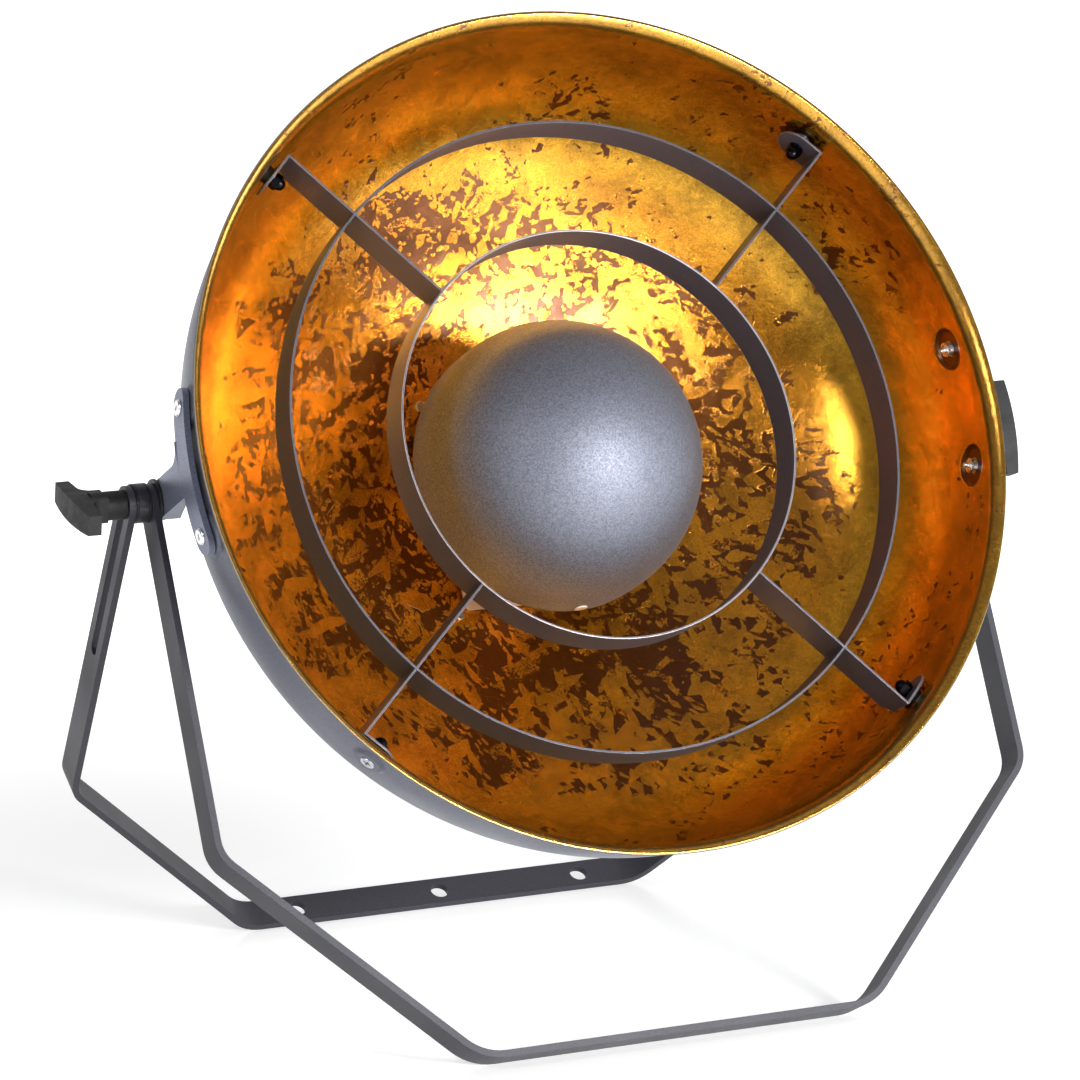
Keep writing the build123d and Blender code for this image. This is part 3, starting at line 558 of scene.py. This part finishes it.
def gold_leaf(name, settings):
    """Imitation gold leaf, laid by hand and sprayed with amber lacquer.

    Torn straight-edged shards glitter on a brown ground in the middle, and towards the rim the
    leaf is whole and rubbed smooth.
    """
    leaf, lacquer = tuple(settings.leaf), tuple(settings.lacquer)
    material, shader, add, place = new_finish(
        name, leaf, Metallic=0.92, Coat_Weight=0.6, Coat_Roughness=0.12
    )
    # Distances from the beam's axis, in metres, over which the leaf changes towards the rim.
    whole_zone, rubbed_zone, clear_zone = (0.138, 0.170), (0.13, 0.165), (0.148, 0.18)

    # Centred on the rim and turned so that z runs along the beam.
    centred = HEAD.inverted()
    moved = {"Location": centred.to_translation(), "Rotation": centred.to_euler()}
    head = add("Mapping", {"Vector": place} | moved)[0]
    quarter = add("VectorMath", (head,), operation="ABSOLUTE")[0]
    flat = add("VectorMath", (head, (1.0, 1.0, 0.0)), operation="MULTIPLY")[0]
    radius = add("VectorMath", (flat,), operation="LENGTH")["Value"]
    depth = add("SeparateXYZ", (head,))["Z"]

    # The shards' sides are drawn askew over 40 mm and frayed over 2 mm.
    skew = add("TexNoise", {"Vector": head, "Scale": 1 / (40 * MM)})["Color"]
    fray = add(
        "TexNoise", {"Vector": head, "Scale": 1 / (2 * MM), "Detail": 3.0, "Roughness": 0.7}
    )["Color"]
    pulled = head
    for drift, pull in ((skew, 16 * MM), (fray, 1.6 * MM)):
        pulled = add("VectorMath", (drift, (pull, pull, pull), pulled), operation="MULTIPLY_ADD")[0]
    top, slopes = torn_shards(add, pulled, settings.flake)
    dust = add(
        "TexNoise", {"Vector": head, "Scale": 1 / (1.1 * MM), "Detail": 4.0, "Roughness": 0.75}
    )["Fac"]
    patch = add(
        "TexNoise", {"Vector": head, "Scale": 1 / (55 * MM), "Detail": 3.0, "Roughness": 0.55}
    )["Fac"]
    broad = add("TexNoise", {"Vector": head, "Scale": 1 / (120 * MM), "Detail": 1.0})["Fac"]

    # The leaf is thin in the middle, whole towards the rim, and missing round the fasteners, where
    # the bared brown ground is also painted shade for the pressed pads' dark reflection.
    whole = add("MapRange", (broad, 0.36, 0.54, 0.30, 0.60), **EASED)[0]
    outer = add("MapRange", (radius, *whole_zone), **EASED)[0]
    skin = add("Math", (outer, whole), operation="MULTIPLY")[0]
    rivet_pad = near_fastener(
        add, quarter, RIVET_ANGLE, RIVET_DEPTH, settings.rivet_pad, 0.8 * MM
    )
    screw_pad = near_fastener(
        add, quarter, SCREW_ANGLES[0], SCREW_DEPTH, settings.screw_pad * 1.5, 6 * MM
    )
    amount = top
    for part, weight in (
        (patch, 1.35),
        (dust, 0.45),
        (skin, 1.0),
        (rivet_pad, -2.0),
        (screw_pad, -0.7),
    ):
        amount = add("Math", (part, weight, amount), operation="MULTIPLY_ADD")[0]
    cover = add("MapRange", (amount, 1.60, 1.66), **EASED)[0]

    # Each shard has its own tone, under smudges 26 mm across and fine dust.
    spread = add("Math", (top, 7.0), operation="MULTIPLY")[0]
    spread = add("Math", (spread,), operation="FRACT")[0]
    smudge = add(
        "TexNoise", {"Vector": pulled, "Scale": 1 / (26 * MM), "Detail": 6.0, "Roughness": 0.66}
    )["Fac"]
    tone = add("MapRange", (spread, 0.0, 1.0, 0.84, 1.08))[0]
    for shade in (
        add("MapRange", (smudge, 0.38, 0.56, 0.70, 1.0), **EASED)[0],
        add("MapRange", (dust, 0.36, 0.62, 0.76, 1.12))[0],
    ):
        tone = add("Math", (tone, shade), operation="MULTIPLY")[0]
    # The lacquer is sprayed from the front and lies thickest in the middle, where it looks redder.
    clear = add("MapRange", (radius, *clear_zone), **EASED)[0]
    golds = {SHARE: clear, FIRST: leaf, SECOND: tuple(settings.rim_leaf)}
    gold = add("Mix", golds, data_type="RGBA")[MIXED]
    bright = add("VectorMath", {0: gold, "Scale": tone}, operation="SCALE")[0]
    browns = {SHARE: dust, FIRST: darker(lacquer, 0.5), SECOND: darker(lacquer, 1.7)}
    ground = add("Mix", browns, data_type="RGBA")[MIXED]
    colour = add("Mix", {SHARE: cover, FIRST: ground, SECOND: bright}, data_type="RGBA")[MIXED]
    # The flared lip is rubbed: dull tan with dark specks.
    lip = add("MapRange", (depth, -LIP_DEPTH * MM, -LIP_DEPTH * MM * 0.55), **EASED)[0]
    specks = add("MapRange", (dust, 0.38, 0.5))[0]
    tans = {SHARE: specks, FIRST: linear("3A2A18"), SECOND: linear("9A6A34")}
    speck = add("Mix", tans, data_type="RGBA")[MIXED]
    half_lip = add("Math", (lip, 0.5), operation="MULTIPLY")[0]
    colour = add("Mix", {SHARE: half_lip, FIRST: colour, SECOND: speck}, data_type="RGBA")[MIXED]

    # The leaf is glossier than the ground, and both are rougher in the middle and on the lip.
    rough = add("MapRange", (radius, *rubbed_zone, 1.0, 0.5), **EASED)[0]
    gloss = add("MapRange", (cover, 0.0, 1.0, 0.25, 0.06))[0]
    gloss = add("Math", (rough, 0.10, gloss), operation="MULTIPLY_ADD")[0]
    gloss = add("Math", (lip, 0.08, gloss), operation="MULTIPLY_ADD")[0]

    # Each shard lies at a slightly different slope, less so where the skin is whole.
    tilt = add("MapRange", (skin, 0.0, 0.4, 0.042, 0.02))[0]
    centred_slopes = add("VectorMath", (slopes, (1.5, 1.5, 1.5)), operation="SUBTRACT")[0]
    slope = add("VectorMath", {0: centred_slopes, "Scale": tilt}, operation="SCALE")[0]
    upright = add("NewGeometry")["Normal"]
    lying = add("VectorMath", (upright, slope), operation="ADD")[0]
    lying = add("VectorMath", (lying,), operation="NORMALIZE")[0]
    # Wrinkles 1.6 mm apart run through the leaf, which stands a little proud of the ground.
    wrinkles = add(
        "TexNoise", {"Vector": pulled, "Scale": 1 / (1.6 * MM), "Detail": 5.0, "Roughness": 0.78}
    )["Fac"]
    height = add("Math", (wrinkles, rough), operation="MULTIPLY")[0]
    height = add("Math", (cover, 0.25, height), operation="MULTIPLY_ADD")[0]
    bump = add(
        "Bump", {"Height": height, "Distance": 0.4 * MM, "Strength": 0.42, "Normal": lying}
    )[0]
    fill(shader, {"Base Color": colour, "Roughness": gloss, "Normal": bump, "Coat Normal": bump})
    return material


def plated_metal(name, colour, roughness):
    """Plated steel, or rolled aluminium or brass: bright metal, fine turning marks, dull spots."""
    material, shader, add, place = new_finish(name, colour, Metallic=1.0)
    # Turning marks are 0.1 mm apart, drawn at 0.8 mm so that they show.
    marks = add(
        "TexNoise", {"Vector": place, "Scale": 1 / (0.8 * MM), "Detail": 4.0, "Roughness": 0.7}
    )["Fac"]
    shades = {SHARE: marks, FIRST: darker(colour, 0.8), SECOND: darker(colour, 1.1)}
    tint = add("Mix", shades, data_type="RGBA")[MIXED]
    gloss = add("MapRange", (marks, *NOISE_SPAN, roughness, roughness + 0.14))[0]
    bump = add("Bump", {"Height": marks, "Distance": 0.02 * MM})[0]
    fill(shader, {"Base Color": tint, "Roughness": gloss, "Normal": bump})
    return material


def metallic_paint(name, colour):
    """Sprayed metallic paint, aluminium flake in grey: a fine sparkle and a broad soft glow."""
    material, shader, add, place = new_finish(name, colour, Metallic=0.85)
    # Real flake is 0.03 mm, drawn at 0.5 mm so that it shows.
    sparkle = add("TexVoronoi", {"Vector": place, "Scale": 1 / (0.5 * MM)})["Color"]
    flake = add("SeparateColor", (sparkle,))[0]
    peel = add("TexNoise", {"Vector": place, "Scale": 1 / (1.1 * MM), "Detail": 3.0})["Fac"]
    shades = {SHARE: flake, FIRST: darker(colour, 0.72), SECOND: darker(colour, 1.3)}
    tint = add("Mix", shades, data_type="RGBA")[MIXED]
    gloss = add("MapRange", (peel, *NOISE_SPAN, 0.55, 0.66))[0]
    bump = add("Bump", {"Height": peel, "Distance": 0.04 * MM})[0]
    fill(shader, {"Base Color": tint, "Roughness": gloss, "Normal": bump})
    return material


def moulded_plastic(name, colour, roughness=0.6):
    """Moulded plastic with a spark-eroded grain: matt, pebbled, a dull sheen on its high spots."""
    material, shader, add, place = new_finish(name, colour, Specular_IOR_Level=0.4)
    # The real grain is 0.3 mm across, drawn at 1 mm so that it shows.
    pebble = add("TexVoronoi", {"Vector": place, "Scale": 1 / (1.0 * MM)}, feature="SMOOTH_F1")
    cloud = add("TexNoise", {"Vector": place, "Scale": 1 / (6 * MM), "Detail": 3.0})["Fac"]
    shades = {SHARE: cloud, FIRST: darker(colour, 0.85), SECOND: darker(colour, 1.2)}
    tint = add("Mix", shades, data_type="RGBA")[MIXED]
    gloss = add("MapRange", (cloud, *NOISE_SPAN, roughness - 0.06, roughness + 0.06))[0]
    bump = add("Bump", {"Height": pebble["Distance"], "Distance": 0.12 * MM})[0]
    fill(shader, {"Base Color": tint, "Roughness": gloss, "Normal": bump})
    return material


def glazed(name, colour, roughness=0.16):
    """Glazed ceramic or sheet enamel: pale and glossy, with faint clouding in the glaze."""
    material, shader, add, place = new_finish(name, colour, Coat_Weight=0.4, Coat_Roughness=0.08)
    cloud = add("TexNoise", {"Vector": place, "Scale": 1 / (4 * MM), "Detail": 4.0})["Fac"]
    shades = {SHARE: cloud, FIRST: darker(colour, 0.9), SECOND: darker(colour, 1.06)}
    tint = add("Mix", shades, data_type="RGBA")[MIXED]
    gloss = add("MapRange", (cloud, *NOISE_SPAN, roughness, roughness + 0.15))[0]
    fill(shader, {"Base Color": tint, "Roughness": gloss})
    return material


def bulb_skin(name):
    """Clear soda glass of a bulb: colourless, glossy, with slow waves from blowing."""
    material, shader, add, place = new_finish(
        name, linear("F6F4EE"), Transmission_Weight=1.0, IOR=1.5, Roughness=0.03
    )
    waves = add("TexNoise", {"Vector": place, "Scale": 1 / (20 * MM), "Detail": 1.0})["Fac"]
    bump = add("Bump", {"Height": waves, "Distance": 0.2 * MM, "Strength": 0.5})[0]
    fill(shader, {"Normal": bump})
    return material


# --- stage ----------------------------------------------------------------------------------


def lay_floor(side):
    """Lays a white sheet that glows more the farther it lies from the lamp, and so runs into the
    white wall behind it."""
    bm = bmesh.new()
    bmesh.ops.create_grid(bm, x_segments=1, y_segments=1, size=side / 2)
    material, shader, add, place = new_finish(
        "White studio sheet", linear("F4F4F4"), Roughness=0.22, Emission_Color=WHITE
    )
    ray = add("LightPath")
    seen = add("Math", (ray["Is Camera Ray"], ray["Is Glossy Ray"]), operation="MAXIMUM")[0]
    seen = add("Math", (seen, ray["Is Transmission Ray"]), operation="MAXIMUM")[0]
    away = add("VectorMath", (place,), operation="LENGTH")["Value"]
    glow = add("MapRange", (away, *FLOOR_NEAR_FAR, *FLOOR_GLOW), **EASED)[0]
    fill(shader, {"Emission Strength": add("Math", (seen, glow), operation="MULTIPLY")[0]})
    floor = finished(bm, "floor", [material])


def hang_soft_boxes(scene, lamp_power):
    """Hangs the soft boxes round the lamp, each turned to face it."""
    for name, (towards, away, power, width, height) in SOFT_BOXES.items():
        light = bpy.data.lights.new(name, "AREA")
        light.shape = "RECTANGLE"
        light.size = width
        light.size_y = height
        light.energy = lamp_power * power
        lamp = bpy.data.objects.new(name, light)
        lamp.location = Vector(towards).normalized() * away + LAMP_MIDDLE
        lamp.rotation_euler = Vector(towards).to_track_quat("Z", "Y").to_euler()
        scene.collection.objects.link(lamp)


def light_room(scene, sky):
    """Sets a white wall behind the lamp and leaves the room in front of it dim."""
    world = bpy.data.worlds.new("white studio")
    world.use_nodes = True
    add = partial(add_node, world.node_tree)
    ray = add("LightPath")
    seen = add("Math", (ray["Is Camera Ray"], ray["Is Transmission Ray"]), operation="MAXIMUM")[0]
    facing = add("TexCoord")["Generated"]
    behind = add("VectorMath", (facing, WALL_DIRECTION), operation="DOT_PRODUCT")["Value"]
    glow = add("MapRange", (behind, *WALL_EDGE, sky * ROOM_DIMNESS, sky), **EASED)[0]
    strength = add("Math", (seen, glow), operation="MAXIMUM")[0]
    fill(world.node_tree.nodes["Background"], {"Color": WHITE, "Strength": strength})
    scene.world = world
    scene.view_settings.view_transform = "Standard"


def place_camera(scene):
    """Puts the camera in its place."""
    view = bpy.data.cameras.new("view")
    view.lens = CAMERA_LENS
    view.sensor_width = 36.0
    view.shift_x, view.shift_y = CAMERA_SHIFT
    view.clip_start = 0.05
    camera = bpy.data.objects.new("view", view)
    turn = Matrix(CAMERA_AXES).transposed().to_4x4()
    camera.matrix_world = Matrix.Translation(CAMERA_PLACE) @ turn
    scene.collection.objects.link(camera)
    scene.camera = camera


# --- operators ------------------------------------------------------------------------------


class SEARCHLIGHT_OT_reflector(bpy.types.Operator):
    """Spins the reflector and lines it with gold leaf"""

    bl_idname = "searchlight.reflector"
    bl_label = "Reflector"

    def execute(self, context):
        settings = context.scene.searchlight_reflector
        bm = bmesh.new()
        # The lip flares out of the straight wall on an arc whose middle lies outside it.
        draw_section(
            bm,
            (RIM_RADIUS, 0),
            [
                ("arc", (BODY_RADIUS + LIP_RADIUS, -LIP_DEPTH), -LIP_SWEEP, 6),
                ("line", (BODY_RADIUS, -STRAIGHT_DEPTH), 5),
                ("arc", (BODY_RADIUS - KNUCKLE_RADIUS, -STRAIGHT_DEPTH), KNUCKLE_SWEEP, 32),
                ("arc", (0, -BACK_CENTRE_DEPTH), BACK_SWEEP, 32),
            ],
        )
        turn_section(bm, context.scene.searchlight_stage.steps, -1)
        for angle in SCREW_ANGLES:
            press_pad(bm, angle, SCREW_DEPTH, settings.screw_pad / MM, settings.pad / MM)
        for angle in RIVET_ANGLES:
            press_pad(bm, angle, RIVET_DEPTH, settings.rivet_pad / MM, settings.pad / MM)
        lean_with_head(bm)
        coat = powder_coat("Satin powder coat, outside", tuple(settings.outside), 0.38, 0.45)
        lining = gold_leaf("Gold leaf lacquer", settings)
        rim = powder_coat("Rim, coat rubbed thin", linear("8F8578"), 0.5, 0.3)
        piece = finished(bm, "reflector", [coat, lining, rim], sharp=60)
        shell = thicken(piece, settings.wall)
        shell.material_offset = 1
        shell.material_offset_rim = 2
        stand_for(piece, "reflector_bowl")
        return {"FINISHED"}


class SEARCHLIGHT_OT_grille(bpy.types.Operator):
    """Finishes the grille's rings, spokes and fasteners"""

    bl_idname = "searchlight.grille"
    bl_label = "Grille"

    def execute(self, context):
        settings = context.scene.searchlight_grille
        coat = powder_coat("Satin powder coat, strips", tuple(settings.coat), metallic=0.1)
        # The broken edges take a pale finish: partly wear, partly a painted highlight along the
        # strips' front edges.
        edge = powder_coat("Strip edge, rubbed, with painted highlight", tuple(settings.rubbed_edge_highlight), 0.35, 0.6)
        for node in ("grille_outer_ring", "grille_inner_ring", "grille_spokes"):
            reworked(node, [coat, edge], settings.broken_edge, edge_finish=1)
        black = plated_metal("Black zinc plate", linear("1C1C20"), 0.22)
        zinc = plated_metal("Bright zinc plate", linear("C9CBD0"), 0.25)
        rubber = moulded_plastic("Distance washer, black rubber", linear("161618"), 0.5)
        reworked("grille_cap_nuts", [black], FINE_EDGE)
        reworked("grille_lock_washers", [black], WASHER_EDGE)
        reworked("grille_washers", [rubber], WASHER_EDGE)
        reworked("grille_bolts", [zinc], FINE_EDGE)
        return {"FINISHED"}


class SEARCHLIGHT_OT_baffle(bpy.types.Operator):
    """Turns the glare baffle and finishes its bracket"""

    bl_idname = "searchlight.baffle"
    bl_label = "Baffle"

    def execute(self, context):
        settings = context.scene.searchlight_baffle
        bm = bmesh.new()
        draw_section(
            bm,
            (BAFFLE_RADIUS, -BAFFLE_DEPTH - BAFFLE_SKIRT),
            [
                ("line", (BAFFLE_RADIUS, -BAFFLE_DEPTH), 4),
                ("arc", (0, -BAFFLE_DEPTH), -90, 40),
            ],
        )
        turn_section(bm, context.scene.searchlight_stage.steps // 2, 1)
        lean_with_head(bm)
        paint = metallic_paint("Metallic paint, baffle", tuple(settings.paint))
        piece = finished(bm, "baffle", [paint], sharp=60)
        thicken(piece, BAFFLE_WALL * MM)
        stand_for(piece, "baffle_dome")
        # The white enamel is tinted cream: painted warm light bounced from the gold lining.
        white_with_painted_warm_light = glazed("Sheet enamel, white, with a painted warm cast", tuple(settings.white_with_painted_warm_light), 0.3)
        reworked("baffle_bracket", [white_with_painted_warm_light], FINE_EDGE)
        reworked("baffle_rivets", [white_with_painted_warm_light], FINE_EDGE)
        return {"FINISHED"}


class SEARCHLIGHT_OT_lampholder(bpy.types.Operator):
    """Finishes the lampholder and the bulb"""

    bl_idname = "searchlight.lampholder"
    bl_label = "Lampholder"

    def execute(self, context):
        ceramic = glazed("Glazed ceramic", linear("E9E5D9"))
        brass = plated_metal("Rolled brass", linear("C79A4B"), 0.25)
        zinc = plated_metal("Zinc plate, lampholder", linear("B4B6BB"), 0.3)
        cap = plated_metal("Rolled aluminium, bulb cap", linear("C9CACC"), 0.3)
        reworked("lampholder_body", [ceramic], SOFT_EDGE)
        reworked("lampholder_shell", [brass])
        reworked("lampholder_contact", [brass], WASHER_EDGE)
        reworked("lampholder_nipple", [zinc], FINE_EDGE)
        reworked("lampholder_nut", [zinc], FINE_EDGE)
        reworked("lampholder_spacer", [zinc], FINE_EDGE)
        reworked("bulb_cap", [cap], FINE_EDGE)
        reworked("bulb_glass", [bulb_skin("Clear bulb glass")], sharp=60)
        return {"FINISHED"}


class SEARCHLIGHT_OT_housing(bpy.types.Operator):
    """Finishes the housing on the reflector's back and what it holds"""

    bl_idname = "searchlight.housing"
    bl_label = "Housing"

    def execute(self, context):
        outside = tuple(context.scene.searchlight_reflector.outside)
        coat = powder_coat("Satin powder coat, housing", outside, metallic=0.45)
        rivet = plated_metal("Aluminium rivet, back", linear("C3C4C9"), 0.25)
        terminal = moulded_plastic("Moulded nylon, natural", linear("DAD6C6"), 0.4)
        black = moulded_plastic("Moulded nylon, black", linear("1F1F21"))
        reworked("rear_housing", [coat], FINE_EDGE)
        reworked("rear_housing_rivets", [rivet], FINE_EDGE)
        reworked("terminal_block", [terminal], SOFT_EDGE)
        reworked("cable_gland", [black], SOFT_EDGE)
        reworked("gland_nut", [black], FINE_EDGE)
        return {"FINISHED"}


class SEARCHLIGHT_OT_brackets(bpy.types.Operator):
    """Finishes the two side brackets, their rivets and weld nuts"""

    bl_idname = "searchlight.brackets"
    bl_label = "Side brackets"

    def execute(self, context):
        bracket_painted_paler = tuple(context.scene.searchlight_stand.bracket_painted_paler)
        # The brackets' coat is the yokes' paint made paler: painted light from the left lamp.
        coat = powder_coat("Satin powder coat, brackets, paler as painted light", bracket_painted_paler, 0.4, 0.45)
        rivet = plated_metal("Aluminium blind rivet", linear("F0F0F2"), 0.2)
        zinc = plated_metal("Zinc plate, weld nuts", linear("A9ABB1"), 0.3)
        reworked("side_bracket_left", [coat], SOFT_EDGE)
        reworked("side_bracket_right", [coat], SOFT_EDGE)
        reworked("bracket_rivets", [rivet], FINE_EDGE)
        reworked("weld_nuts", [zinc], FINE_EDGE)
        return {"FINISHED"}


class SEARCHLIGHT_OT_yokes(bpy.types.Operator):
    """Finishes the two bent yokes"""

    bl_idname = "searchlight.yokes"
    bl_label = "Yokes"

    def execute(self, context):
        settings = context.scene.searchlight_stand
        coat = powder_coat("Satin powder coat, yokes", tuple(settings.coat), 0.5, 0.15)
        reworked("front_yoke", [coat], settings.broken_edge, segments=3)
        reworked("rear_yoke", [coat], settings.broken_edge, segments=3)
        return {"FINISHED"}


class SEARCHLIGHT_OT_hubs(bpy.types.Operator):
    """Finishes the washers, spacers, knobs and studs on the tilt axis"""

    bl_idname = "searchlight.hubs"
    bl_label = "Hubs and knobs"

    def execute(self, context):
        settings = context.scene.searchlight_stand
        nylon = moulded_plastic("Nylon washer, black", linear("1B1B1D"), 0.45)
        spacer = powder_coat("Satin powder coat, spacers", tuple(settings.coat))
        plastic = moulded_plastic("Moulded ABS, knobs", tuple(settings.knob))
        zinc = plated_metal("Zinc plate, studs", linear("B4B6BB"), 0.3)
        reworked("pivot_washers", [nylon], FINE_EDGE)
        reworked("spacer_washers", [nylon], WASHER_EDGE)
        reworked("hub_spacers", [spacer], SOFT_EDGE)
        for side in ("left", "right"):
            reworked("knob_" + side, [plastic], KNOB_EDGE, segments=4)
            reworked("stud_" + side, [zinc], FINE_EDGE)
        return {"FINISHED"}


class SEARCHLIGHT_OT_stage(bpy.types.Operator):
    """Sets out the floor, the soft lamps, the background and the camera"""

    bl_idname = "searchlight.stage"
    bl_label = "Stage"

    def execute(self, context):
        settings = context.scene.searchlight_stage
        lay_floor(settings.floor)
        hang_soft_boxes(context.scene, settings.lamp)
        light_room(context.scene, settings.sky)
        place_camera(context.scene)
        return {"FINISHED"}


class SEARCHLIGHT_PT_panel(bpy.types.Panel):
    """Lists the lamp's pieces and their settings"""

    bl_idname = "SEARCHLIGHT_PT_panel"
    bl_label = "Searchlight lamp"
    bl_space_type = "VIEW_3D"
    bl_region_type = "UI"
    bl_category = "Searchlight"

    def draw(self, context):
        for operator in OPERATORS:
            self.layout.operator(operator.bl_idname)
        for name, group in GROUPS.items():
            box = self.layout.box()
            box.label(text=group.__doc__)
            for prop in group.__annotations__:
                box.prop(getattr(context.scene, name), prop)


GROUPS = {
    "searchlight_reflector": ReflectorSettings,
    "searchlight_grille": GrilleSettings,
    "searchlight_baffle": BaffleSettings,
    "searchlight_stand": StandSettings,
    "searchlight_stage": StageSettings,
}
OPERATORS = (
    SEARCHLIGHT_OT_stage,
    SEARCHLIGHT_OT_reflector,
    SEARCHLIGHT_OT_grille,
    SEARCHLIGHT_OT_baffle,
    SEARCHLIGHT_OT_lampholder,
    SEARCHLIGHT_OT_housing,
    SEARCHLIGHT_OT_brackets,
    SEARCHLIGHT_OT_yokes,
    SEARCHLIGHT_OT_hubs,
)


def register():
    """Registers the settings, the operators and the panel."""
    for group in GROUPS.values():
        bpy.utils.register_class(group)
    for operator in OPERATORS:
        bpy.utils.register_class(operator)
    bpy.utils.register_class(SEARCHLIGHT_PT_panel)
    for name, group in GROUPS.items():
        setattr(bpy.types.Scene, name, PointerProperty(type=group))


def unregister():
    """Takes the settings, the operators and the panel away again."""
    for name in GROUPS:
        delattr(bpy.types.Scene, name)
    bpy.utils.unregister_class(SEARCHLIGHT_PT_panel)
    for operator in reversed(OPERATORS):
        bpy.utils.unregister_class(operator)
    for group in reversed(GROUPS.values()):
        bpy.utils.unregister_class(group)


def main():
    """Builds the stage and every piece."""
    register()
    bpy.ops.searchlight.stage()
    bpy.ops.searchlight.reflector()
    bpy.ops.searchlight.grille()
    bpy.ops.searchlight.baffle()
    bpy.ops.searchlight.lampholder()
    bpy.ops.searchlight.housing()
    bpy.ops.searchlight.brackets()
    bpy.ops.searchlight.yokes()
    bpy.ops.searchlight.hubs()
    bpy.context.view_layer.update()


if __name__ == "__main__":
    main()
